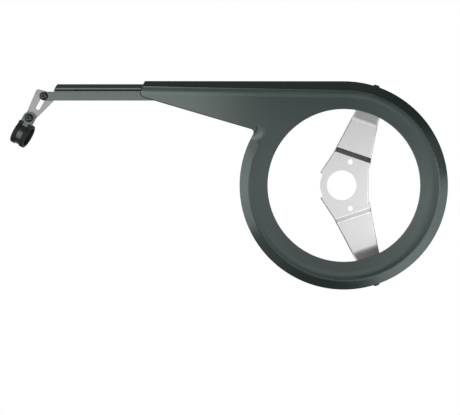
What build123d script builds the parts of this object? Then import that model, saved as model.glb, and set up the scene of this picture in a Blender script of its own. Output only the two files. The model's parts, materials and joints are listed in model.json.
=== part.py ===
from build123d import *
import os
from math import atan2, cos, pi, sin, sqrt, tan

# Bicycle chain guard: a moulded ring and arm that cover the chainring and the upper chain run,
# a sheet-steel bracket held by the bottom bracket cup, a rail that telescopes out of the arm,
# and a slotted link with a rubber-lined strap clamp for the chainstay.
# Millimetres. Origin: centre of the bottom bracket hole, on the face that seats on the frame's shell.
# +X forward, +Z up, +Y towards the bicycle's middle, so the outer face looks towards -Y.

# Guard shell
RING_RADIUS = 120.5
WINDOW_RADIUS = 88.1
WALL = 2.2
FACE_Y = -27.0
BACK_Y = -3.0
BEVEL_WIDTH = 10.5
BEVEL_DEPTH = 4.5
BEVEL_ROUND = 3.5
DISH_WIDTH = 10.3
DISH_DEPTH = 1.0
CREST_FADE = 28.0
CREST_PAST_CORNER_DEG = 6.0
SHOULDER_RISE_DEG = 1.1
LIP_DEPTH = 4.0
EDGE_ROUND = 0.6
ARM_LENGTH = 237.3
ARM_END_LEAN = 7.3
ARM_END_HEIGHT = 17.2
ARM_END_ROUND = 6.0
ARM_FALL_DEG = 16.4
CORNER_ROUND = 4.0
SCOOP_RADIUS = 24.0
SCOOP_DEPTH = 3.2
SCOOP_PAST_CORNER_DEG = 1.1
CHAIN_EXIT_RISE = 11.5
CHAIN_EXIT_HEIGHT = 24.0
CHAIN_RELIEF_DROP = 3.0
REAR_LIP_LENGTH = 87.3
REAR_LIP_HEIGHT = 11.0
LEDGE_LENGTH = 98.0
LEDGE_THICKNESS = 1.6

# Bottom bracket bracket, folded from one sheet
SHEET = 1.5
CUP_HOLE_RADIUS = 17.5
HUB_ROUND_RADIUS = 25.7
HUB_FRONT_EDGE_X = 31.6
HUB_NOTCH_DEG = 28.5
HUB_NOTCH = 2.8
HUB_FRONT_NOTCH = 3.0
SIDE_HOLE_RADIUS = 3.05
SIDE_HOLE_X = 10.1
SIDE_HOLE_Z = 27.5
SPOKE_ANGLE_DEG = 71.2
STEP_BACK = 3.0
STEP_START = 35.2
STEP_LENGTH = 5.8
STEP_ROUND = 2.5
RAMP_RUN = 36.0
RAMP_DEG = 15.0
RAMP_ROUND = 28.0
SPOKE_WIDE_LEFT = 21.3
SPOKE_WIDE_RIGHT = 24.1
SPOKE_NARROW_AT = 90.0
SPOKE_NARROW_LEFT = 12.5
SPOKE_NARROW_RIGHT = 16.5
FLANGE_DEPTH = 6.0
RIGHT_FLANGE_START = 62.0
FLANGE_SETBACK = 17.0
BEND_ROUND = 1.2
TAB_WIDTH = 16.0
TAB_DEPTH = 10.0
PAD_DEPTH = 1.3
PAD_WIDTH = 22.0

# Telescoping rail
RAIL_GAP = 0.3
RAIL_WALL = 2.5
RAIL_ROOF = 2.0
RAIL_DROP = 22.4
RAIL_BAND_HEIGHT = 10.2
GROOVE_HEIGHT = 2.4
GROOVE_DEPTH = 7.0
NOSE_DEPTH = 2.0
NOSE_FACE_HEIGHT = 2.3
RAIL_OVERLAP = 97.3
RAIL_REACH = 109.2
RIB_SETBACK = 9.6
RIB_END_SLANT = 3.8
LINK_RELIEF = 19.0
RAIL_TRAVEL_IN = 60.0
RAIL_TRAVEL_OUT = 30.0
RAIL_SCREW_INSET = 47.3

# Strut link and its screw
LINK_THICKNESS = 2.0
LINK_TRAVEL = 15.2
SLOT_LEAN_DEG = 29.7
LINK_ROUND = 3.2
LINK_REAR_CORNER = (-6.9, 5.05)
LINK_TOP_CORNER = (0.26, 3.13)
LINK_FRONT_CORNER = (7.4, -3.87)
LINK_LOBE_RADIUS = 5.5
CLAMP_SCREW_LEFT = 17.2
CLAMP_SCREW_DOWN = 25.2

# Chainstay clamp
CLAMP_LEAN_DEG = 28.4
STRAP = 1.2
STRAP_WIDTH = 14.2
EAR_GAP = 0.15
STAY_RADIUS = 11.0
LINING = 1.0
LINING_WIDTH = 16.4
LINING_LIP = 5.0
LOOP_DROP = 20.4
LOOP_BULGE = 3.5
EAR_BEND_ROUND = 1.5
LOOP_BEND_ROUND = 4.0

# Fasteners: socket screws at the strut, cross-recess screws elsewhere
SOCKET_SHANK_RADIUS = 2.5
SOCKET_HEAD_RADIUS = 4.75
SOCKET_HEAD_HEIGHT = 2.75
SOCKET_HEAD_ROUND = 2.2
SOCKET_DEPTH = 1.6
SOCKET_ACROSS_FLATS = 3.0
SOCKET_NUT_ACROSS_FLATS = 8.0
SOCKET_NUT_HEIGHT = 4.0
SMALL_SHANK_RADIUS = 2.0
SMALL_HEAD_RADIUS = 3.75
SMALL_HEAD_HEIGHT = 2.7
SMALL_HEAD_ROUND = 1.3
CROSS_SPAN = 4.1
CROSS_SLOT = 0.95
CROSS_DEPTH = 1.8
SMALL_NUT_ACROSS_FLATS = 7.0
SMALL_NUT_HEIGHT = 3.2
WASHER_THICKNESS = 1.0
WASHER_MARGIN = 2.6
RUNNING_GAP = 0.1
SCREW_GAP = 0.2
SCREW_TAIL = 1.0

# Places that follow from the sizes above
BEHIND_Y = -FACE_Y
FLAT_Y = FACE_Y + DISH_DEPTH
ARM_END_LOW_X = -ARM_LENGTH
ARM_END_TOP_X = ARM_END_LOW_X + ARM_END_LEAN
ARM_END_LOW_Z = RING_RADIUS - ARM_END_HEIGHT
STRUT_SCREW_X = ARM_END_LOW_X - RAIL_REACH
RIB_END_X = STRUT_SCREW_X + RIB_SETBACK
RAIL_SCREW_X = ARM_END_LOW_X + RAIL_SCREW_INSET
RAIL_FACE_Y = FLAT_Y + WALL + RAIL_GAP
LINK_FACE_Y = RAIL_FACE_Y + RAIL_WALL
EAR_FACE_Y = LINK_FACE_Y - 2 * STRAP - EAR_GAP
RAIL_LOW_Z = RING_RADIUS - RAIL_DROP
RAIL_MID_Z = RAIL_LOW_Z + RAIL_BAND_HEIGHT / 2
RAIL_TOP_Z = RING_RADIUS - WALL - RAIL_GAP
REAR_LIP_Y = BACK_Y - WALL
ARM_FALL = ARM_FALL_DEG * pi / 180
LIP_TOP_AT_END_Z = ARM_END_LOW_Z + WALL / cos(ARM_FALL)
ARM_LIP_START_X = ARM_END_LOW_X + (LIP_TOP_AT_END_Z - RAIL_LOW_Z + RAIL_GAP) / tan(ARM_FALL)
RAIL_SCREW_Z = RAIL_TOP_Z - RAIL_ROOF - SMALL_HEAD_RADIUS
LOOP_RADIUS = STAY_RADIUS + LINING
LOOP_Y = EAR_FACE_Y + STRAP + LOOP_RADIUS - LOOP_BULGE
CLAMP_SCREW_X = STRUT_SCREW_X - CLAMP_SCREW_LEFT
CLAMP_SCREW_Z = RAIL_MID_Z - CLAMP_SCREW_DOWN
TAB_FACE = RING_RADIUS - WALL - PAD_DEPTH
SPOKE_FACE_Y = -SHEET + STEP_BACK
RAMP_START = TAB_FACE - RAMP_RUN
RAMP_SLOPE = tan(RAMP_DEG * pi / 180)
RAMP_END_Y = SPOKE_FACE_Y - RAMP_RUN * RAMP_SLOPE
RIM_SCREW_Y = RAMP_END_Y - TAB_DEPTH / 2


def prism(outline, front_y, back_y):
    """A front-view outline, drawn in X and Z, run from one depth to another."""
    return extrude(Plane.XZ.offset(-front_y) * outline, front_y - back_y)


def polygon(*points):
    return make_face(Polyline(*points, close=True))


def rectangle(x0, x1, y0, y1):
    return Pos((x0 + x1) / 2, (y0 + y1) / 2) * Rectangle(x1 - x0, y1 - y0)


def rounded(face, radius, *corners):
    """The face with the named corners rounded."""
    chosen = [face.vertices().sort_by_distance((x, y, 0))[0] for x, y in corners]
    return fillet(chosen, radius)


# Guard shell

def rim_section(inset, back_y):
    """Half section of ring and arm without their crest: flat face, bevel and rim wall."""
    slope = atan2(BEVEL_DEPTH, BEVEL_WIDTH)
    face = FLAT_Y + inset
    corner = RING_RADIUS - BEVEL_WIDTH + DISH_DEPTH / tan(slope) - inset * tan(slope / 2)
    rim = RING_RADIUS - inset
    rim_y = FACE_Y + BEVEL_DEPTH + inset * tan((pi / 2 - slope) / 2)
    return polygon((0, face), (corner, face), (rim, rim_y), (rim, back_y), (0, back_y))


def crest_section():
    """Half section with the crest: the face dishes up to a rounded shoulder before it falls away as the bevel."""
    shoulder = RING_RADIUS - BEVEL_WIDTH
    dish_start = shoulder - DISH_WIDTH
    dish = TangentArc((dish_start, FLAT_Y), (shoulder, FACE_Y), tangent=(1, 0))
    rest = Polyline(
        (shoulder, FACE_Y),
        (RING_RADIUS, FACE_Y + BEVEL_DEPTH),
        (RING_RADIUS, BACK_Y),
        (0, BACK_Y),
        (0, FLAT_Y),
        (dish_start, FLAT_Y),
    )
    return rounded(make_face(dish + rest), BEVEL_ROUND, (shoulder, FACE_Y))


def arm_low_z(x):
    """Height of the arm's lower edge, which falls towards the ring."""
    return ARM_END_LOW_Z - (x - ARM_END_LOW_X) * tan(ARM_FALL)


def arm_bar(section, rise):
    """A rim section run along the arm, as long as the arm and more, climbing by an angle."""
    side = Plane(origin=(0, 0, 0), x_dir=(0, 0, 1), z_dir=(-1, 0, 0))
    return extrude(side * section, RING_RADIUS - ARM_END_LOW_X, dir=(-cos(rise), 0, sin(rise)))


def arm_outline():
    inner_x = -WINDOW_RADIUS
    outline = polygon(
        (ARM_END_TOP_X, RING_RADIUS),
        (ARM_END_LOW_X, ARM_END_LOW_Z),
        (inner_x, arm_low_z(inner_x)),
        (0, arm_low_z(0)),
        (0, RING_RADIUS),
    )
    return rounded(outline, ARM_END_ROUND, (ARM_END_LOW_X, ARM_END_LOW_Z))


def below_arm(x0, drop):
    """Area above the arm's lower edge from x0 to the ring, with the edge moved down by drop."""
    far_x = ARM_END_LOW_X - RING_RADIUS / 2
    lift = -drop / cos(ARM_FALL)
    return polygon(
        (far_x, 2 * RING_RADIUS),
        (far_x, arm_low_z(x0) - RING_RADIUS / 2),
        (x0, arm_low_z(x0) - RING_RADIUS / 2),
        (x0, arm_low_z(x0) + lift),
        (-WINDOW_RADIUS, arm_low_z(-WINDOW_RADIUS) + lift),
        (0, arm_low_z(-WINDOW_RADIUS) + lift),
        (0, 2 * RING_RADIUS),
    )


def scoop(inset):
    """Rounded end of the ring's bevel where it runs out into the arm's face."""
    angle = corner_angle() + SCOOP_PAST_CORNER_DEG * pi / 180
    centre_y = FLAT_Y - SCOOP_RADIUS + SCOOP_DEPTH
    return Pos(RING_RADIUS * cos(angle), centre_y, RING_RADIUS * sin(angle)) * Sphere(SCOOP_RADIUS + inset)


def spoke_turn(side):
    """Frame of the upper (1) or lower (-1) bracket arm: X out along the arm, Y as the guard's."""
    return Rot(0, -side * SPOKE_ANGLE_DEG, 0)


def crested_ring():
    """The ring, its crest running clockwise from the top and dying out where the arm begins."""
    end = corner_angle() * 180 / pi - CREST_PAST_CORNER_DEG
    plain_arc = end - 90
    crested = revolve(Rot(0, -90, 0) * crest_section(), Axis.Y, revolution_arc=360 - plain_arc)
    fade_slope = atan2(DISH_DEPTH, CREST_FADE) * 180 / pi
    above = Pos(0, -BEVEL_DEPTH / 2, 0) * Box(RING_RADIUS, BEVEL_DEPTH, 2 * CREST_FADE)
    fade = Rot(0, -end, 0) * Pos(RING_RADIUS, FLAT_Y, 0) * Rot(fade_slope, 0, 0) * above
    plain = revolve(Rot(0, -end, 0) * rim_section(0, BACK_Y), Axis.Y, revolution_arc=plain_arc)
    return crested - fade + plain


def guard_shell():
    lip_y = FACE_Y + LIP_DEPTH
    shoulder_rise = SHOULDER_RISE_DEG * pi / 180
    arm = arm_bar(crest_section(), shoulder_rise) & prism(arm_outline(), FACE_Y, BACK_Y)
    body = crested_ring() + arm - scoop(0)
    corner = body.edges().filter_by(Axis.Y).sort_by_distance(arm_corner())[0]
    body = fillet(corner, CORNER_ROUND)
    core = Plane.XZ.offset(-FACE_Y) * Circle(WINDOW_RADIUS + WALL)
    hollow = revolve(rim_section(WALL, BEHIND_Y), Axis.Y) - extrude(core, -LIP_DEPTH)
    bar = arm_bar(rim_section(WALL, BEHIND_Y), 0)
    hollow += bar & prism(below_arm(ARM_LIP_START_X, -WALL), FACE_Y, lip_y)
    hollow += bar & prism(below_arm(ARM_END_LOW_X, CHAIN_RELIEF_DROP), lip_y, BEHIND_Y)
    body -= hollow - scoop(WALL)
    body -= extrude(Plane.XZ.offset(-FACE_Y) * Circle(WINDOW_RADIUS), -LIP_DEPTH)
    exit_low_z = CHAIN_EXIT_RISE - RING_RADIUS
    chain_exit = rectangle(-RING_RADIUS, 0, exit_low_z, exit_low_z + CHAIN_EXIT_HEIGHT)
    body -= prism(chain_exit, FACE_Y + BEVEL_DEPTH + EDGE_ROUND, BEHIND_Y)
    body += rear_lip()
    body += rail_ledge()
    for side in (1, -1):
        body += spoke_turn(side) * rim_pad()
        body -= spoke_turn(side) * cross_bore(RIM_SCREW_Y, SMALL_SHANK_RADIUS + SCREW_GAP)
    return body


def arm_corner():
    """Where the arm's lower edge meets the ring's rim."""
    fall = tan(ARM_FALL)
    height = arm_low_z(0)
    reach = (height * fall - ((RING_RADIUS ** 2) * (1 + fall ** 2) - height ** 2) ** 0.5) / (1 + fall ** 2)
    return (reach, BACK_Y, arm_low_z(reach))


def corner_angle():
    corner_x, _, corner_z = arm_corner()
    return atan2(corner_z, corner_x)


def rear_lip():
    """Lip that hangs from the arm's roof behind the rail and takes the rail's screw."""
    end_x = ARM_END_LOW_X + REAR_LIP_LENGTH
    strip = rectangle(ARM_END_LOW_X, end_x, RING_RADIUS - REAR_LIP_HEIGHT, RING_RADIUS)
    lip = prism(strip & arm_outline(), REAR_LIP_Y, BACK_Y)
    hole = Pos(RAIL_SCREW_X, RAIL_SCREW_Z) * Circle(SMALL_SHANK_RADIUS + SCREW_GAP)
    return lip - prism(hole, REAR_LIP_Y, BACK_Y)


def rail_ledge():
    """Ledge on the arm's inner face that the rail's lower edge slides on."""
    top_z = RAIL_LOW_Z - RAIL_GAP
    end_x = ARM_LIP_START_X + LEDGE_LENGTH
    strip = rectangle(ARM_LIP_START_X, end_x, top_z - LEDGE_THICKNESS, top_z)
    return prism(strip, FLAT_Y + WALL / 2, LINK_FACE_Y)


def rim_pad():
    """Flat pad inside the rim wall that the bracket's end tab lies against."""
    depth = RING_RADIUS - WALL / 2 - TAB_FACE
    height = TAB_DEPTH + 2 * EDGE_ROUND
    return Pos(TAB_FACE + depth / 2, RIM_SCREW_Y, 0) * Box(depth, height, PAD_WIDTH)


def cross_bore(y, radius):
    """Hole along X through a bracket tab and the rim wall."""
    length = 2 * (RING_RADIUS - TAB_FACE) + 2 * SHEET
    return Pos(TAB_FACE, y, 0) * Rot(0, 90, 0) * Cylinder(radius, 2 * length)


# Bottom bracket bracket

def spoke_front_y(x):
    """Depth of a bracket arm's front face at a distance from the hole: hub plane, step back, flat, ramp."""
    step = STEP_BACK * (x - STEP_START) / STEP_LENGTH
    ramp = (x - RAMP_START) * RAMP_SLOPE
    return -SHEET + min(max(step, 0), STEP_BACK) - max(ramp, 0)


def spoke_profile(depth):
    """Side view of one bracket arm as deep as asked, with the tab along the rim and rounded bends."""
    inner = TAB_FACE - SHEET
    bends = (STEP_START - STEP_LENGTH, STEP_START, STEP_START + STEP_LENGTH, RAMP_START)
    front = [(x, spoke_front_y(x)) for x in bends]
    back = [(x, spoke_front_y(x) + depth) for x in bends]
    tab_end_y = RAMP_END_Y - TAB_DEPTH
    outline = polygon(
        *front,
        (inner, spoke_front_y(inner)),
        (inner, tab_end_y),
        (TAB_FACE, tab_end_y),
        (TAB_FACE, RAMP_END_Y + depth),
        *reversed(back),
    )
    outline = rounded(outline, BEND_ROUND, (inner, spoke_front_y(inner)))
    outline = rounded(outline, STEP_ROUND, *front[1:3], *back[1:3])
    return rounded(outline, RAMP_ROUND, front[3], back[3])


def spoke_half_width(wide, narrow, x):
    """Half width of the tapering arm, from its width at the step and at the ring's window."""
    return wide - (wide - narrow) * (x - STEP_START) / (SPOKE_NARROW_AT - STEP_START)


def spoke_outline(inset):
    """Front view of one bracket arm in its own frame, tapering towards the rim."""
    start = STEP_START - STEP_LENGTH
    ends = (start, TAB_FACE)
    left = [spoke_half_width(SPOKE_WIDE_LEFT, SPOKE_NARROW_LEFT, x) - inset for x in ends]
    right = [spoke_half_width(SPOKE_WIDE_RIGHT, SPOKE_NARROW_RIGHT, x) - inset for x in ends]
    return polygon((start, left[0]), (TAB_FACE, left[1]), (TAB_FACE, -right[1]), (start, -right[0]))


def spoke():
    """One folded arm of the bracket in its own frame, with its side flanges and end tab."""
    reach = RING_RADIUS
    deep = spoke_profile(FLANGE_DEPTH)
    arm = extrude(deep, reach / 2, both=True) & prism(spoke_outline(0), -reach, reach)
    folds = [
        edge
        for side in (Axis.Z, -Axis.Z)
        for edge in arm.faces().sort_by(side)[-1].edges()
        if abs(edge.center().Y - spoke_front_y(edge.center().X)) < SHEET
    ]
    arm = fillet(folds, BEND_ROUND)
    behind = extrude(deep - spoke_profile(SHEET), reach / 2, both=True)
    no_flange = prism(spoke_outline(SHEET), -reach, reach)
    no_flange += prism(rectangle(0, RIGHT_FLANGE_START, -reach, 0), -reach, reach)
    no_flange += prism(rectangle(TAB_FACE - FLANGE_SETBACK, reach, -reach, reach), -reach, reach)
    arm -= behind & no_flange
    for side in (1, -1):
        arm -= Pos(TAB_FACE, 0, side * (TAB_WIDTH + reach) / 2) * Box(4 * SHEET, 2 * reach, reach)
    return arm - cross_bore(RIM_SCREW_Y, SMALL_SHANK_RADIUS + SCREW_GAP)


def bottom_bracket_bracket():
    angle = SPOKE_ANGLE_DEG * pi / 180
    along = Vector(cos(angle), sin(angle))
    left = Vector(-sin(angle), cos(angle))
    top_left = along * STEP_START + left * SPOKE_WIDE_LEFT
    top_right = along * STEP_START - left * SPOKE_WIDE_RIGHT
    notch = HUB_NOTCH_DEG * pi / 180
    round_end = Vector(-cos(notch), sin(notch)) * HUB_ROUND_RADIUS
    fold_end = round_end + Vector(-HUB_NOTCH, HUB_NOTCH)
    front_end = Vector(HUB_FRONT_EDGE_X, top_right.Y - HUB_FRONT_NOTCH)
    half = polygon((0, 0), round_end, fold_end, top_left, top_right, front_end, (HUB_FRONT_EDGE_X, 0))
    hub = prism(half + mirror(half, Plane.XZ) + Circle(HUB_ROUND_RADIUS), -SHEET, 0)
    inward = (top_left - fold_end).normalized().rotate(Axis.Z, -90) * SHEET
    rear = polygon(fold_end, top_left, top_left + inward, fold_end + inward)
    front = rectangle(HUB_FRONT_EDGE_X - SHEET, HUB_FRONT_EDGE_X, -front_end.Y, front_end.Y)
    hub += prism(rear + mirror(rear, Plane.XZ) + front, -SHEET, FLANGE_DEPTH - SHEET)
    middle = (fold_end + top_left) / 2
    fold_middles = ((middle.X, middle.Y), (middle.X, -middle.Y), (HUB_FRONT_EDGE_X, 0))
    folds = [hub.edges().sort_by_distance((x, -SHEET, z))[0] for x, z in fold_middles]
    hub = fillet(folds, BEND_ROUND)
    upper = spoke_turn(1) * spoke()
    bracket = hub + upper + mirror(upper, Plane.XY)
    holes = Circle(CUP_HOLE_RADIUS)
    for side in (1, -1):
        holes += Pos(SIDE_HOLE_X, side * SIDE_HOLE_Z) * Circle(SIDE_HOLE_RADIUS)
    return bracket - prism(holes, -FLANGE_DEPTH, FLANGE_DEPTH)


# Telescoping rail

def rail_section():
    """End view of the rail, height then depth: front band, groove, stepped rib, roof and rear flange."""
    band_top = RAIL_LOW_Z + RAIL_BAND_HEIGHT
    groove_top = band_top + GROOVE_HEIGHT
    nose_top = groove_top + NOSE_FACE_HEIGHT
    groove_y = RAIL_FACE_Y + GROOVE_DEPTH
    nose_y = groove_y - NOSE_DEPTH
    rear_y = REAR_LIP_Y - RAIL_GAP
    return polygon(
        (RAIL_LOW_Z, RAIL_FACE_Y),
        (band_top, RAIL_FACE_Y),
        (band_top, groove_y),
        (groove_top, groove_y),
        (groove_top, nose_y),
        (nose_top, nose_y),
        (RAIL_TOP_Z, nose_y + RAIL_TOP_Z - nose_top),
        (RAIL_TOP_Z, rear_y),
        (band_top, rear_y),
        (band_top, rear_y - RAIL_ROOF),
        (RAIL_TOP_Z - RAIL_ROOF, rear_y - RAIL_ROOF),
        (RAIL_TOP_Z - RAIL_ROOF, groove_y + RAIL_ROOF),
        (band_top - RAIL_ROOF, groove_y + RAIL_ROOF),
        (band_top - RAIL_ROOF, LINK_FACE_Y),
        (RAIL_LOW_Z, LINK_FACE_Y),
    )


def extension_rail():
    end_round = RAIL_BAND_HEIGHT / 2
    inner_x = ARM_END_LOW_X + RAIL_OVERLAP
    side = Plane(origin=(inner_x, 0, 0), x_dir=(0, 0, 1), z_dir=(-1, 0, 0))
    rail = extrude(side * rail_section(), inner_x - STRUT_SCREW_X)
    band_top = RAIL_LOW_Z + RAIL_BAND_HEIGHT
    rib_cut = polygon(
        (STRUT_SCREW_X - end_round, band_top),
        (RIB_END_X, band_top),
        (RIB_END_X + RIB_END_SLANT, RAIL_TOP_Z),
        (STRUT_SCREW_X - end_round, RAIL_TOP_Z),
    )
    rail -= prism(rib_cut, FACE_Y, BEHIND_Y)
    low_cut = rectangle(STRUT_SCREW_X - end_round, RIB_END_X, RAIL_LOW_Z, band_top)
    rail -= prism(low_cut, LINK_FACE_Y, BEHIND_Y)
    relief = rectangle(RIB_END_X, RIB_END_X + LINK_RELIEF, RAIL_LOW_Z, band_top)
    rail -= prism(relief, LINK_FACE_Y, RAIL_FACE_Y + GROOVE_DEPTH)
    rail += prism(Pos(STRUT_SCREW_X, RAIL_MID_Z) * Circle(end_round), RAIL_FACE_Y, LINK_FACE_Y)
    hole = Pos(STRUT_SCREW_X, RAIL_MID_Z) * Circle(SOCKET_SHANK_RADIUS + RUNNING_GAP)
    rail -= prism(hole, RAIL_FACE_Y, LINK_FACE_Y)
    slot_length = RAIL_TRAVEL_IN + RAIL_TRAVEL_OUT
    slot_x = RAIL_SCREW_X + (RAIL_TRAVEL_OUT - RAIL_TRAVEL_IN) / 2
    slot = SlotCenterToCenter(slot_length, 2 * (SMALL_SHANK_RADIUS + RUNNING_GAP))
    rear_y = REAR_LIP_Y - RAIL_GAP
    return rail - prism(Pos(slot_x, RAIL_SCREW_Z) * slot, rear_y - RAIL_ROOF, rear_y)


# Strut link

def strut_link():
    """Stamped plate: three rounded corners round the slot, drawn in to a lobe at the clamp screw."""
    corners = [
        Pos(STRUT_SCREW_X + right, RAIL_MID_Z + up) * Circle(LINK_ROUND).edge()
        for right, up in (LINK_REAR_CORNER, LINK_TOP_CORNER, LINK_FRONT_CORNER)
    ]
    lobe = Pos(CLAMP_SCREW_X, CLAMP_SCREW_Z) * Circle(LINK_LOBE_RADIUS).edge()
    plate = make_hull(corners + [lobe])
    lean = SLOT_LEAN_DEG * pi / 180
    middle = Pos(STRUT_SCREW_X - sin(lean) * LINK_TRAVEL / 2, RAIL_MID_Z - cos(lean) * LINK_TRAVEL / 2)
    slot = SlotCenterToCenter(LINK_TRAVEL, 2 * (SOCKET_SHANK_RADIUS + RUNNING_GAP))
    plate -= middle * Rot(0, 0, 90 - SLOT_LEAN_DEG) * slot
    plate -= Pos(CLAMP_SCREW_X, CLAMP_SCREW_Z) * Circle(SOCKET_SHANK_RADIUS + RUNNING_GAP)
    return prism(plate, LINK_FACE_Y, LINK_FACE_Y + LINK_THICKNESS)


# Chainstay clamp, drawn in its own frame: X along the stay, Y as the guard's, Z from the loop to the screw

def clamp_place():
    return Pos(CLAMP_SCREW_X, 0, CLAMP_SCREW_Z) * Rot(0, CLAMP_LEAN_DEG, 0)


def across(section, width):
    """An end-view section run along the stay, centred."""
    return extrude(Plane.YZ * section, width / 2, both=True)


def loop_round(radius):
    """A circle round the stay, in the end view."""
    return Pos(LOOP_Y, -LOOP_DROP) * Circle(radius)


def strap_height(y):
    """Height of the strap's outside above the screw at a depth, on the upper half of the loop."""
    return sqrt((LOOP_RADIUS + STRAP) ** 2 - (y - LOOP_Y) ** 2) - LOOP_DROP


def clamp_band():
    """One strap: a loop that stands out in front of its two ears, which lie flat on each other."""
    ear_top = STRAP_WIDTH / 2
    section = loop_round(LOOP_RADIUS + STRAP) + rectangle(EAR_FACE_Y, LINK_FACE_Y, -LOOP_DROP, ear_top)
    section = rounded(section.face(), LOOP_BEND_ROUND, (EAR_FACE_Y, strap_height(EAR_FACE_Y)))
    section = rounded(section, EAR_BEND_ROUND, (LINK_FACE_Y, strap_height(LINK_FACE_Y)))
    section -= loop_round(LOOP_RADIUS)
    section -= rectangle(EAR_FACE_Y + STRAP, LINK_FACE_Y - STRAP, -LOOP_DROP, ear_top)
    band = across(section, STRAP_WIDTH)
    reach = LOOP_DROP + 2 * LOOP_RADIUS
    front = Circle(ear_top) + Pos(0, -reach / 2) * Rectangle(STRAP_WIDTH, reach)
    front -= Circle(SOCKET_SHANK_RADIUS + SCREW_GAP)
    return clamp_place() * (band & prism(front, LOOP_Y - reach, LOOP_Y + reach))


def clamp_lining():
    """Rubber channel: a sleeve in the loop, cheeks at the strap's edges and lips folded over its outside."""
    lip_outside = loop_round(LOOP_RADIUS + STRAP + LINING)
    lining = across(loop_round(LOOP_RADIUS) - loop_round(STAY_RADIUS), LINING_WIDTH)
    cheeks = across(lip_outside - loop_round(LOOP_RADIUS), LINING_WIDTH) - across(lip_outside, STRAP_WIDTH)
    ear_space = rectangle(EAR_FACE_Y - STRAP, LINK_FACE_Y + 2 * EAR_BEND_ROUND, -LOOP_DROP, 0)
    lips = across(lip_outside - loop_round(LOOP_RADIUS + STRAP) - ear_space, LINING_WIDTH)
    lips -= across(lip_outside, LINING_WIDTH - 2 * LINING_LIP)
    return clamp_place() * (lining + cheeks + lips)


# Fasteners, drawn along +Y from the underside of the head

def screw_head(radius, height, edge_round):
    """Turned head in front of Y = 0 with a well rounded edge."""
    flat = radius - edge_round
    side = height - edge_round
    edge = TangentArc((radius, -side), (flat, -height), tangent=(0, -1))
    rest = Polyline((flat, -height), (0, -height), (0, 0), (radius, 0), (radius, -side))
    return revolve(make_face(edge + rest), Axis.Y)


def socket_screw(grip):
    """Button-head screw with a hexagon socket and a plain shank."""
    head = screw_head(SOCKET_HEAD_RADIUS, SOCKET_HEAD_HEIGHT, SOCKET_HEAD_ROUND)
    hexagon = RegularPolygon(SOCKET_ACROSS_FLATS / 2, 6, major_radius=False)
    head -= prism(hexagon, -SOCKET_HEAD_HEIGHT, SOCKET_DEPTH - SOCKET_HEAD_HEIGHT)
    length = grip + WASHER_THICKNESS + SOCKET_NUT_HEIGHT + SCREW_TAIL
    return head + prism(Circle(SOCKET_SHANK_RADIUS), 0, length)


def cross_screw(grip):
    """Pan-head screw with a cross recess and a plain shank."""
    head = screw_head(SMALL_HEAD_RADIUS, SMALL_HEAD_HEIGHT, SMALL_HEAD_ROUND)
    cross = Rectangle(CROSS_SPAN, CROSS_SLOT) + Rectangle(CROSS_SLOT, CROSS_SPAN)
    head -= prism(cross, -SMALL_HEAD_HEIGHT, CROSS_DEPTH - SMALL_HEAD_HEIGHT)
    length = grip + SMALL_NUT_HEIGHT + SCREW_TAIL
    return head + prism(Circle(SMALL_SHANK_RADIUS), 0, length)


def hex_nut(across_flats, bore, height):
    return prism(RegularPolygon(across_flats / 2, 6, major_radius=False) - Circle(bore), 0, height)


def washer(bore):
    return prism(Circle(bore + WASHER_MARGIN) - Circle(bore), 0, WASHER_THICKNESS)


def export(name, solid):
    export_step(solid, "parts/" + name + ".step")


os.makedirs("parts", exist_ok=True)
small_nut = hex_nut(SMALL_NUT_ACROSS_FLATS, SMALL_SHANK_RADIUS, SMALL_NUT_HEIGHT)
socket_nut = hex_nut(SOCKET_NUT_ACROSS_FLATS, SOCKET_SHANK_RADIUS, SOCKET_NUT_HEIGHT)

export("guard_shell", guard_shell())
export("bottom_bracket_bracket", bottom_bracket_bracket())
rim_stack = RING_RADIUS - TAB_FACE + SHEET
for side, name in ((1, "upper"), (-1, "lower")):
    inward = spoke_turn(side) * Pos(RING_RADIUS, RIM_SCREW_Y, 0) * Rot(0, 0, 90)
    export("rim_screw_" + name, inward * cross_screw(rim_stack))
    export("rim_nut_" + name, inward * Pos(0, rim_stack, 0) * small_nut)

export("extension_rail", extension_rail())
outward = Pos(RAIL_SCREW_X, BACK_Y + WASHER_THICKNESS, RAIL_SCREW_Z) * Rot(0, 0, 180)
rail_stack = WASHER_THICKNESS + WALL + RAIL_GAP + RAIL_ROOF
export("rail_screw", outward * cross_screw(rail_stack))
export("rail_washer", outward * washer(SMALL_SHANK_RADIUS))
export("rail_nut", outward * Pos(0, rail_stack, 0) * small_nut)

export("strut_link", strut_link())
export("clamp_band", clamp_band())
export("clamp_lining", clamp_lining())
link_back_y = LINK_FACE_Y + LINK_THICKNESS
for name, x, z, face_y in (
    ("strut", STRUT_SCREW_X, RAIL_MID_Z, RAIL_FACE_Y),
    ("clamp", CLAMP_SCREW_X, CLAMP_SCREW_Z, EAR_FACE_Y),
):
    export(name + "_screw", Pos(x, face_y, z) * socket_screw(link_back_y - face_y))
    export(name + "_washer", Pos(x, link_back_y, z) * washer(SOCKET_SHANK_RADIUS))
    export(name + "_nut", Pos(x, link_back_y + WASHER_THICKNESS, z) * socket_nut)
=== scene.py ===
import json
from math import atan2, pi, radians

import bmesh
import bpy
from mathutils import Matrix, Vector

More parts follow.
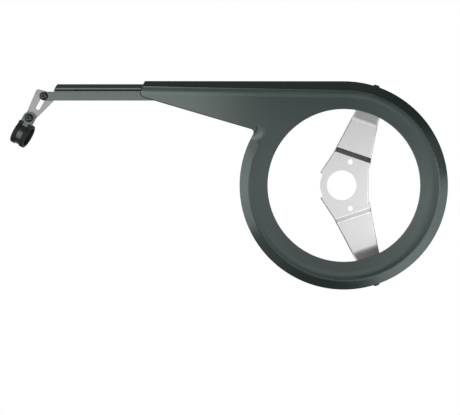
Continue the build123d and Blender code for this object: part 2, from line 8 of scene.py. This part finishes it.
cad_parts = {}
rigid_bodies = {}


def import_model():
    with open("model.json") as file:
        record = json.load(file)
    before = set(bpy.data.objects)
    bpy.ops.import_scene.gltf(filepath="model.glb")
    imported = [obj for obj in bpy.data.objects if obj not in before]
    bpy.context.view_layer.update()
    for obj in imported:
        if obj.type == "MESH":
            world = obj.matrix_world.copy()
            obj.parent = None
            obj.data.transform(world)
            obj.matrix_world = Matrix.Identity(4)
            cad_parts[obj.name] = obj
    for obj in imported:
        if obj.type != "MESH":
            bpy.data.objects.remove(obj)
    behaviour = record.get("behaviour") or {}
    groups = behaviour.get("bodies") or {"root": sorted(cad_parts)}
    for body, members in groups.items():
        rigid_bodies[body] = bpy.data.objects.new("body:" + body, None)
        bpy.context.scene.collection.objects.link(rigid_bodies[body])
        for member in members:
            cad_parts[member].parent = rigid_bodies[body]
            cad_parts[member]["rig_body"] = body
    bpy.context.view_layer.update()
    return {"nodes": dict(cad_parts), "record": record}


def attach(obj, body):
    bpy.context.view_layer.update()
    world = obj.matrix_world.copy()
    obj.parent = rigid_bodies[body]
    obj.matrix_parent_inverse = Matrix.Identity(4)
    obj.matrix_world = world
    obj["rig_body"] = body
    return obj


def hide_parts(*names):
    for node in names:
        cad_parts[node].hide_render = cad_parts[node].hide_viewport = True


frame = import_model()


# Guard shell
# One injection-moulded shell of dark grey-green plastic round the chainring and over the upper chain run.
# The mould leaves a fine satin grain on it, and the bracket's screws hold it by its rim.

GUARD_COLOUR = (0.014, 0.022, 0.020, 1)
GUARD_IOR = 1.6
GUARD_GLOSS_TINT = (0.84, 1.0, 0.98, 1)
GUARD_SMOOTHEST = 0.18
MOTTLE_PER_METRE = 60
MOTTLE_ROUGHENS = 0.05
GRAIN_PER_METRE = 2600
GRAIN_ROUGHENS = 0.03
MOULDED_EDGE = 0.0003
MERGE_DISTANCE = 1e-6
FLAT_ANGLE = radians(0.4)
SHARP_ANGLE = radians(28)
CUT_FACE_SLOPE = 0.5
FRONT_FACING = -0.3
RING_RADIUS = 0.1205
RIM_START = 0.1195
FLAT_Y = -0.026
BEVEL_DROP = 0.0035
HOLLOW_MIDDLE = Vector((-0.105, 0, 0.0592))
HOLLOW_REACH = 0.0146
HOLLOW_CUTS = 4
RUN_OUT_FROM = Vector((-0.1094, 0, 0.0489))
RUN_OUT_ALONG = Vector((0.507, 0, 0.862))
RUN_OUT_LENGTH = 0.0235
RUN_OUT_SPREAD = 0.0022
CREST_RISE = 0.001
CREST_FOOT = 0.0997
CREST_WIDTH = 0.0103
CREST_START = radians(147)
CREST_FADE = radians(24)
CREST_CHANGED = radians(139)
ARM_START_X = -0.108
ARM_FRONT_Y = -0.0235
ARM_OUTWARD = -0.3
ARM_EDGE = 0.0009


class Shade:
    """A shader socket: arithmetic on it adds Math nodes, and node() adds any other node."""

    def __init__(self, tree, socket):
        self.tree = tree
        self.socket = socket

    def feed(self, target, value):
        """Links the input to another socket, or sets it to a plain value."""
        if isinstance(value, Shade):
            self.tree.links.new(value.socket, target)
        else:
            target.default_value = value

    def node(self, kind, settings=None, inputs=None, output=0):
        """Adds a node and gives back one of its outputs."""
        made = self.tree.nodes.new(kind)
        for name, value in (settings or {}).items():
            setattr(made, name, value)
        for name, value in (inputs or {}).items():
            self.feed(made.inputs[name], value)
        return Shade(self.tree, made.outputs[output])

    def math(self, operation, first, second):
        return self.node("ShaderNodeMath", {"operation": operation}, {0: first, 1: second})

    def __add__(self, other):
        return self.math("ADD", self, other)

    def __rsub__(self, other):
        return self.math("SUBTRACT", other, self)

    def __mul__(self, other):
        return self.math("MULTIPLY", self, other)

    __radd__ = __add__


def new_finish(name):
    """An empty material, its shader, and the object's own coordinates."""
    material = bpy.data.materials.new(name)
    material.use_nodes = True
    tree = material.node_tree
    place = Shade(tree, tree.nodes.new("ShaderNodeTexCoord").outputs["Object"])
    return material, tree.nodes["Principled BSDF"], place


def noise(place, per_metre, detail=2.0, stretch=(1, 1, 1)):
    """Smooth noise from 0 to 1 with about that many grains in a metre."""
    turned = place.node("ShaderNodeMapping", {}, {"Vector": place, "Scale": stretch})
    return turned.node("ShaderNodeTexNoise", {}, {"Vector": turned, "Scale": per_metre, "Detail": detail})


def mottled(fade, colour, darker, lighter):
    """A colour that goes from a darker to a lighter shade of itself as fade goes from 0 to 1."""
    low = tuple(channel * darker for channel in colour[:3]) + (1,)
    high = tuple(channel * lighter for channel in colour[:3]) + (1,)
    return fade.node("ShaderNodeMix", {"data_type": "RGBA"}, {0: fade, 6: low, 7: high}, output=2)


def bumped(height, distance, strength):
    inputs = {"Height": height, "Distance": distance, "Strength": strength}
    return height.node("ShaderNodeBump", {}, inputs)


def moulded_plastic(name, colour):
    """Satin plastic with a fine grain and faint clouds."""
    material, shader, place = new_finish(name)
    mottle = noise(place, MOTTLE_PER_METRE, detail=4.0)
    grain = noise(place, GRAIN_PER_METRE)
    roughness = GUARD_SMOOTHEST + mottle * MOTTLE_ROUGHENS + grain * GRAIN_ROUGHENS
    place.feed(shader.inputs["Base Color"], mottled(mottle, colour, darker=0.92, lighter=1.08))
    place.feed(shader.inputs["Roughness"], roughness)
    place.feed(shader.inputs["Normal"], bumped(grain, distance=0.00002, strength=0.25))
    shader.inputs["IOR"].default_value = GUARD_IOR
    shader.inputs["Specular Tint"].default_value = GUARD_GLOSS_TINT
    return material


def round_edges(bm, edges, offset, segments, clamp=True):
    bmesh.ops.bevel(
        bm, geom=edges, offset=offset, segments=segments, profile=0.5,
        affect="EDGES", material=-1, clamp_overlap=clamp
    )


def finished_copy(node, material, edge, softer=None, side_shade_material=None):
    """Makes a merged copy of a solid's mesh with its sharp edges rounded, which stands for the solid."""
    source = frame["nodes"][node]
    bm = bmesh.new()
    bm.from_mesh(source.data)
    bmesh.ops.remove_doubles(bm, verts=bm.verts, dist=MERGE_DISTANCE)
    bmesh.ops.dissolve_limit(bm, angle_limit=FLAT_ANGLE, verts=bm.verts, edges=bm.edges)
    if softer:
        softer(bm)
    sharp = [e for e in bm.edges if e.is_manifold and e.calc_face_angle() > SHARP_ANGLE]
    round_edges(bm, sharp, edge, segments=2)
    for face in bm.faces:
        face.smooth = True
        # Faces turned sideways can take a second material; the link uses it for painted shade on its side
        # walls.
        face.material_index = 1 if side_shade_material and abs(face.normal.y) < CUT_FACE_SLOPE else 0
    mesh = bpy.data.meshes.new(node + "_finished")
    bm.to_mesh(mesh)
    bm.free()
    mesh.set_sharp_from_angle(angle=SHARP_ANGLE)
    mesh.materials.append(material)
    if side_shade_material:
        mesh.materials.append(side_shade_material)
    piece = bpy.data.objects.new(node + "_finished", mesh)
    bpy.context.scene.collection.objects.link(piece)
    piece.modifiers.new("flat faces stay flat", "WEIGHTED_NORMAL").keep_sharp = True
    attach(piece, source["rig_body"])
    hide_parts(node)


def eased(value):
    """Goes smoothly from 0 to 1 as the value does."""
    value = min(max(value, 0.0), 1.0)
    return value * value * (3 - 2 * value)


def soften_corner(bm):
    """Fills the hollow at the ring's corner, so that bevel and crest run out softly into the face."""
    def reach(vert):
        return (Vector((vert.co.x, 0, vert.co.z)) - HOLLOW_MIDDLE).length

    def in_hollow(face):
        return face.normal.y < FRONT_FACING and max(reach(v) for v in face.verts) < HOLLOW_REACH

    def by_corner(vert):
        radius = Vector((vert.co.x, vert.co.z)).length
        clock = atan2(vert.co.z, vert.co.x)
        return CREST_FOOT < radius < RIM_START and CREST_CHANGED < clock < CREST_START + CREST_FADE

    skin = bmesh.ops.triangulate(bm, faces=[f for f in bm.faces if in_hollow(f)])["faces"]
    edges = {edge for face in skin for edge in face.edges}
    bmesh.ops.subdivide_edges(bm, edges=list(edges), cuts=HOLLOW_CUTS, use_grid_fill=True)
    bm.normal_update()
    verts = {v for f in bm.faces if in_hollow(f) for v in f.verts}
    verts |= {v for f in bm.faces if f.normal.y < FRONT_FACING for v in f.verts if by_corner(v)}
    bevel_width = RING_RADIUS - CREST_FOOT - CREST_WIDTH
    for vert in verts:
        place = Vector((vert.co.x, 0, vert.co.z))
        outside = place.length - RING_RADIUS
        crest = CREST_RISE * eased((atan2(place.z, place.x) - CREST_START) / CREST_FADE)
        rise = crest * min(max((place.length - CREST_FOOT) / CREST_WIDTH, 0), 1)
        drop = max(BEVEL_DROP + outside * (BEVEL_DROP + crest) / bevel_width, -rise)
        if outside > 0:
            drop = BEVEL_DROP * (1 - eased(outside / RUN_OUT_SPREAD))
        if drop > 0:
            drop *= 1 - eased((place - RUN_OUT_FROM).dot(RUN_OUT_ALONG) / RUN_OUT_LENGTH)
        vert.co.y = FLAT_Y + drop


def break_arm_edge(bm):
    """Chamfers the front edge below the arm and round its open end over the rail."""
    def faces_out(face):
        return abs(face.normal.y) < CUT_FACE_SLOPE and min(face.normal.x, face.normal.z) < ARM_OUTWARD

    edge_line = [
        edge for edge in bm.edges
        if edge.is_manifold and edge.calc_face_angle() > SHARP_ANGLE
        and all(v.co.x < ARM_START_X and v.co.y < ARM_FRONT_Y for v in edge.verts)
        and any(faces_out(face) for face in edge.link_faces)
        and any(face.normal.y < -CUT_FACE_SLOPE for face in edge.link_faces)
    ]
    round_edges(bm, edge_line, ARM_EDGE, segments=1, clamp=False)


def soften_guard(bm):
    break_arm_edge(bm)
    soften_corner(bm)


guard_plastic = moulded_plastic("guard plastic", GUARD_COLOUR)
finished_copy("guard_shell", guard_plastic, MOULDED_EDGE, softer=soften_guard)


# Extension rail
# A second moulding in the same plastic that slides in the arm to suit the length of the frame.
# A screw behind the arm clamps it in place.

RAIL_FACE_Y = -0.0235
NOSE_FACE_Y = -0.0185
GROOVE_FLOOR_Y = -0.0165
GROOVE_LOW_Z = 0.1083
GROOVE_HIGH_Z = 0.1107
GROOVE_ROUND = 0.0011
NOSE_ROUND = 0.0008
BAND_ROUND = 0.0013
PLACE_TOLERANCE = 0.00004


def edges_at(bm, y, z):
    """The edges that run along the rail at that depth and height."""
    return [
        edge for edge in bm.edges
        if all(abs(v.co.y - y) < PLACE_TOLERANCE and abs(v.co.z - z) < PLACE_TOLERANCE for v in edge.verts)
    ]


def soften_rail(bm):
    """Rounds the groove's floor, the nose above it and the band's upper edge as the mould does."""
    groove = edges_at(bm, GROOVE_FLOOR_Y, GROOVE_LOW_Z) + edges_at(bm, GROOVE_FLOOR_Y, GROOVE_HIGH_Z)
    round_edges(bm, groove, GROOVE_ROUND, segments=5)
    round_edges(bm, edges_at(bm, NOSE_FACE_Y, GROOVE_HIGH_Z), NOSE_ROUND, segments=4)
    round_edges(bm, edges_at(bm, RAIL_FACE_Y, GROOVE_LOW_Z), BAND_ROUND, segments=5)


rail_plastic = moulded_plastic("rail plastic", GUARD_COLOUR)
finished_copy("extension_rail", rail_plastic, MOULDED_EDGE, softer=soften_rail)


# Bottom bracket bracket
# Zinc-plated sheet steel, punched and folded, clamped under the bottom bracket cup.
# The rolled sheet keeps a faint grain along the bracket, under the satin plating.

BRACKET_COLOUR = (0.575, 0.58, 0.575, 1)
BRACKET_ROUGHNESS = 0.28
STREAKS_PER_METRE = 240
STREAK_STRETCH = (4, 4, 0.25)
CLOUDS_PER_METRE = 45
PLATING_SPREAD = 0.06
SHEET_EDGE = 0.00018


def plated_steel(name, colour, roughness, metallic=1.0):
    """Zinc plating over the streaks of rolled steel."""
    material, shader, place = new_finish(name)
    streak = noise(place, STREAKS_PER_METRE, detail=3.0, stretch=STREAK_STRETCH)
    cloud = noise(place, CLOUDS_PER_METRE, detail=3.0)
    fade = streak * 0.5 + cloud * 0.5
    place.feed(shader.inputs["Base Color"], mottled(fade, colour, darker=0.97, lighter=1.03))
    place.feed(shader.inputs["Roughness"], roughness - PLATING_SPREAD / 2 + fade * PLATING_SPREAD)
    place.feed(shader.inputs["Normal"], bumped(streak, distance=0.00001, strength=0.1))
    shader.inputs["Metallic"].default_value = metallic
    return material


bracket_steel = plated_steel("bracket steel", BRACKET_COLOUR, BRACKET_ROUGHNESS)
finished_copy("bottom_bracket_bracket", bracket_steel, SHEET_EDGE)


# Screws, nuts and washers
# Black socket screws at the strut and the clamp, black cross-recess screws at the rim and the rail.
# Each has a zinc-plated nut, over a washer where it turns on the link or the plastic.

SCREW_COLOUR = (0.030, 0.038, 0.036, 1)
SCREW_SMOOTHEST = 0.22
BLACKENING_ROUGHENS = 0.1
BLACKENING_PER_METRE = 900
NUT_COLOUR = (0.6, 0.61, 0.61, 1)
NUT_ROUGHNESS = 0.3
TURNED_EDGE = 0.00012
SOCKET_SIDES = 6
SOCKET_FACING = -0.99
SOCKET_POINT = 0.0012


def blackened_steel(name, colour):
    """Steel under a thin, slightly cloudy black oxide."""
    material, shader, place = new_finish(name)
    cloud = noise(place, BLACKENING_PER_METRE, detail=3.0)
    place.feed(shader.inputs["Base Color"], mottled(cloud, colour, darker=0.8, lighter=1.25))
    place.feed(shader.inputs["Roughness"], SCREW_SMOOTHEST + cloud * BLACKENING_ROUGHENS)
    shader.inputs["Metallic"].default_value = 1.0
    return material


def drill_socket(bm):
    """Gives the hexagon socket the pointed floor that its drill leaves."""
    floor = [f for f in bm.faces if len(f.verts) == SOCKET_SIDES and f.normal.y < SOCKET_FACING]
    for vert in bmesh.ops.poke(bm, faces=floor)["verts"]:
        vert.co.y += SOCKET_POINT


black_screw = blackened_steel("black screw", SCREW_COLOUR)
zinc_nut = plated_steel("zinc nut", NUT_COLOUR, NUT_ROUGHNESS)
for node in ("rim_screw_upper", "rim_screw_lower", "rail_screw"):
    finished_copy(node, black_screw, TURNED_EDGE)
for node in ("strut_screw", "clamp_screw"):
    finished_copy(node, black_screw, TURNED_EDGE, softer=drill_socket)
for node in ("rim_nut_upper", "rim_nut_lower", "rail_nut", "strut_nut", "clamp_nut"):
    finished_copy(node, zinc_nut, TURNED_EDGE)
for node in ("rail_washer", "strut_washer", "clamp_washer"):
    finished_copy(node, zinc_nut, TURNED_EDGE)


# Strut link
# Flat plated steel stamping, held behind the rail's end by the strut's screw, with painted shade: its side
# walls are coloured near-black.
# Its slot lets the clamp be set up or down against the rail.

LINK_COLOUR = (0.31, 0.32, 0.315, 1)
LINK_ROUGHNESS = 0.5
LINK_METALLIC = 0.25
LINK_SIDE_SHADE_COLOUR = (0.06, 0.06, 0.06, 1)

link_steel = plated_steel("link steel", LINK_COLOUR, LINK_ROUGHNESS, metallic=LINK_METALLIC)
# Painted shade: the link's side walls take a near-black colour that stands in for the shade along its
# edges.
link_side_shade = blackened_steel("link side painted shade", LINK_SIDE_SHADE_COLOUR)
finished_copy("strut_link", link_steel, SHEET_EDGE, side_shade_material=link_side_shade)


# Chainstay clamp
# A plated steel strap bent round the chainstay, with both ears under the screw.
# Black rubber lines it, folds round the strap's edges and stands up in a small lip on each side of the ear.

STRAP_COLOUR = (0.08, 0.092, 0.09, 1)
STRAP_ROUGHNESS = 0.42
RUBBER_COLOUR = (0.007, 0.0105, 0.0098, 1)
RUBBER_GLOSS = 0.3
RUBBER_SMOOTHEST = 0.6
RUBBER_CLOUDS_PER_METRE = 300
RUBBER_CLOUD_ROUGHENS = 0.15
RUBBER_GRAIN_PER_METRE = 3000
RUBBER_EDGE = 0.00035
RUBBER_RIM = 0.0009
LIP_WIDTH = 0.005
LIP_ROUND = 0.00045
LIP_FRONT_Y = -0.02475
LIP_BACK_Y = -0.0235
LIP_TOP = 0.0138
LIP_FOOT = 0.0068
MM_PER_METRE = 1000


def black_rubber(name, colour):
    """Matt rubber with a fine grain."""
    material, shader, place = new_finish(name)
    cloud = noise(place, RUBBER_CLOUDS_PER_METRE, detail=4.0)
    grain = noise(place, RUBBER_GRAIN_PER_METRE)
    place.feed(shader.inputs["Base Color"], mottled(cloud, colour, darker=0.8, lighter=1.3))
    place.feed(shader.inputs["Roughness"], RUBBER_SMOOTHEST + cloud * RUBBER_CLOUD_ROUGHENS)
    place.feed(shader.inputs["Normal"], bumped(grain, distance=0.00003, strength=0.3))
    shader.inputs["Specular IOR Level"].default_value = RUBBER_GLOSS
    return material


strap_steel = plated_steel("strap steel", STRAP_COLOUR, STRAP_ROUGHNESS)
clamp_rubber = black_rubber("clamp rubber", RUBBER_COLOUR)
finished_copy("clamp_band", strap_steel, SHEET_EDGE)
clamp_mount = next(mount for mount in frame["record"]["mounts"] if mount["name"] == "chainstay_clamp")
stay_middle = Vector(clamp_mount["pos_m"])
stay_axis = Vector(clamp_mount["axis"])
lining_half = clamp_mount["dims"]["length_mm"] / MM_PER_METRE / 2
ear_up = Vector((0, 1, 0)).cross(stay_axis)


def soften_rims(bm):
    """Rounds the lining's two ends, outside and in the bore."""
    def at_end(vert):
        along = (vert.co - stay_middle).dot(stay_axis)
        return abs(abs(along) - lining_half) < PLACE_TOLERANCE

    rims = [
        edge for edge in bm.edges
        if all(at_end(v) for v in edge.verts) and edge.calc_face_angle() > SHARP_ANGLE
    ]
    round_edges(bm, rims, RUBBER_RIM, segments=4)


finished_copy("clamp_lining", clamp_rubber, RUBBER_EDGE, softer=soften_rims)
clamp_turn = Matrix((stay_axis, (0, 1, 0), ear_up)).transposed().to_4x4()
lip_inward = (LIP_FRONT_Y + LIP_BACK_Y) / 2 - stay_middle.y
lip_upward = (LIP_TOP + LIP_FOOT) / 2
for side in (-1, 1):
    lip_along = side * (lining_half - LIP_WIDTH / 2)
    bm = bmesh.new()
    bmesh.ops.create_cube(bm, size=1)
    bmesh.ops.scale(bm, vec=(LIP_WIDTH, LIP_BACK_Y - LIP_FRONT_Y, LIP_TOP - LIP_FOOT), verts=bm.verts)
    round_edges(bm, bm.edges[:], LIP_ROUND, segments=3)
    bmesh.ops.translate(bm, vec=(lip_along, lip_inward, lip_upward), verts=bm.verts)
    bmesh.ops.transform(bm, matrix=Matrix.Translation(stay_middle) @ clamp_turn, verts=bm.verts)
    for face in bm.faces:
        face.smooth = True
    lip_mesh = bpy.data.meshes.new("clamp_lining_lip")
    bm.to_mesh(lip_mesh)
    bm.free()
    lip_mesh.materials.append(clamp_rubber)
    lip = bpy.data.objects.new("clamp_lining_lip", lip_mesh)
    bpy.context.scene.collection.objects.link(lip)
    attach(lip, frame["nodes"]["clamp_lining"]["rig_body"])


# Floor, studio light and camera
# A plain pale floor well below the part, with a lamp of its own that casts the part's shadow on it.
# Soft boxes stand in front at the left and low at the right; between them the room is dark above.

FLOOR_MIDDLE = (-0.13, 0, -0.62)
FLOOR_SIZE = 2.4
FLOOR_PALE = (0.93, 0.93, 0.93, 1)
FLOOR_LAMP_STRENGTH = 3.4
FLOOR_LAMP_SPREAD = radians(12)
ROOM_LIGHT = 0.05
BAND_LIGHT = 1.25
GLOW_LIGHT = 0.5
LOW_LIGHT = 0.5
OVERHEAD_LIGHT = 0.25
BEHIND_LIGHT = 0.7
SENSOR_WIDTH = 36
FOCAL_LENGTH = 68
SHIFT_ACROSS = -0.0444
SHIFT_UP = -0.0638
CAMERA_PLACE = (-0.1079, -1.027, 0.0084)
CAMERA_LEVEL = (radians(90), 0, 0)

bpy.ops.mesh.primitive_plane_add(size=FLOOR_SIZE, location=FLOOR_MIDDLE)
floor = bpy.context.object
floor.name = "floor"
floor_paint, floor_shader = new_finish("floor paint")[:2]
floor_shader.inputs["Base Color"].default_value = FLOOR_PALE
floor_shader.inputs["Roughness"].default_value = 1.0
floor_shader.inputs["Specular IOR Level"].default_value = 0.0
floor.data.materials.append(floor_paint)
floor.visible_diffuse = False
floor.visible_glossy = False
floor.visible_shadow = False

lit_by_floor_lamp = bpy.data.collections.new("lit by floor lamp")
lit_by_floor_lamp.objects.link(floor)
floor_lamp = bpy.data.objects.new("floor lamp", bpy.data.lights.new("floor lamp", "SUN"))
floor_lamp.data.energy = FLOOR_LAMP_STRENGTH
floor_lamp.data.angle = FLOOR_LAMP_SPREAD
floor_lamp.light_linking.receiver_collection = lit_by_floor_lamp
bpy.context.scene.collection.objects.link(floor_lamp)


def panel(name, place, target, width, height, radiance, colour=(1, 1, 1)):
    """A soft light panel that faces its target."""
    lamp = bpy.data.lights.new(name, "AREA")
    lamp.color = colour
    lamp.shape = "RECTANGLE"
    lamp.size = width
    lamp.size_y = height
    lamp.energy = radiance * pi * width * height
    holder = bpy.data.objects.new(name, lamp)
    bpy.context.scene.collection.objects.link(holder)
    holder.location = place
    holder.rotation_euler = (Vector(target) - Vector(place)).to_track_quat("-Z", "Y").to_euler()
    holder.visible_camera = False


panel(
    "left box", place=(-0.555, -1.15, 0.185), target=(-0.28, 0, 0.1),
    width=0.77, height=0.29, radiance=3.1, colour=(1.0, 0.93, 0.91)
)
panel(
    "far left box", place=(-1.0, -0.8, 0.03), target=(-0.1, 0, 0.03),
    width=0.55, height=1.12, radiance=2.7
)
panel(
    "right box", place=(0.77, -0.84, -0.51), target=(0, 0, 0),
    width=1.3, height=1.28, radiance=2.3
)
panel(
    "right upper box", place=(0.9, -0.85, 0.32), target=(0, 0, 0),
    width=0.7, height=0.4, radiance=0.5
)

world = bpy.data.worlds.new("studio")
bpy.context.scene.world = world
world.use_nodes = True
tree = world.node_tree
direction = Shade(tree, tree.nodes.new("ShaderNodeTexCoord").outputs["Generated"])
split = direction.node("ShaderNodeSeparateXYZ", {}, {"Vector": direction}).socket.node
depth = Shade(tree, split.outputs["Y"])
height = Shade(tree, split.outputs["Z"])
path = direction.node("ShaderNodeLightPath").socket.node
camera_ray = Shade(tree, path.outputs["Is Camera Ray"])
glossy_ray = Shade(tree, path.outputs["Is Glossy Ray"])
transmission_ray = Shade(tree, path.outputs["Is Transmission Ray"])


def ramp(value, start, end):
    """Rises smoothly from 0 to 1 as the value goes from start to end."""
    smooth = {"interpolation_type": "SMOOTHSTEP"}
    return value.node("ShaderNodeMapRange", smooth, {0: value, 1: start, 2: end, 3: 0.0, 4: 1.0})


front_band = ramp(height, start=0.16, end=0.0) * ramp(height, start=-0.18, end=-0.09)
front_band = front_band * ramp(depth, start=-0.5, end=-0.9)
front_glow = ramp(height, start=0.11, end=0.03) * ramp(height, start=-0.11, end=-0.03)
front_glow = front_glow * ramp(depth, start=-0.8, end=-0.95)
front_low = ramp(height, start=-0.34, end=-0.44) * ramp(height, start=-0.75, end=-0.6)
front_low = front_low * ramp(depth, start=-0.3, end=-0.6)
behind = ramp(depth, start=0.25, end=0.6)
overhead = ramp(height, start=0.6, end=0.9)
room = ROOM_LIGHT + front_band * BAND_LIGHT + front_glow * GLOW_LIGHT
room = room + front_low * LOW_LIGHT + overhead * OVERHEAD_LIGHT + behind * BEHIND_LIGHT
seen = camera_ray.math("MAXIMUM", camera_ray, transmission_ray)
seen = seen.math("MAXIMUM", seen, glossy_ray * behind)
background = tree.nodes["Background"]
background.inputs["Color"].default_value = (1, 1, 1, 1)
direction.feed(background.inputs["Strength"], room * (1 - seen) + seen)

bpy.context.scene.view_settings.view_transform = "Standard"
lens = bpy.data.cameras.new("camera")
lens.sensor_width = SENSOR_WIDTH
lens.lens = FOCAL_LENGTH
lens.shift_x = SHIFT_ACROSS
lens.shift_y = SHIFT_UP
camera = bpy.data.objects.new("camera", lens)
bpy.context.scene.collection.objects.link(camera)
camera.location = CAMERA_PLACE
camera.rotation_euler = CAMERA_LEVEL
bpy.context.scene.camera = camera
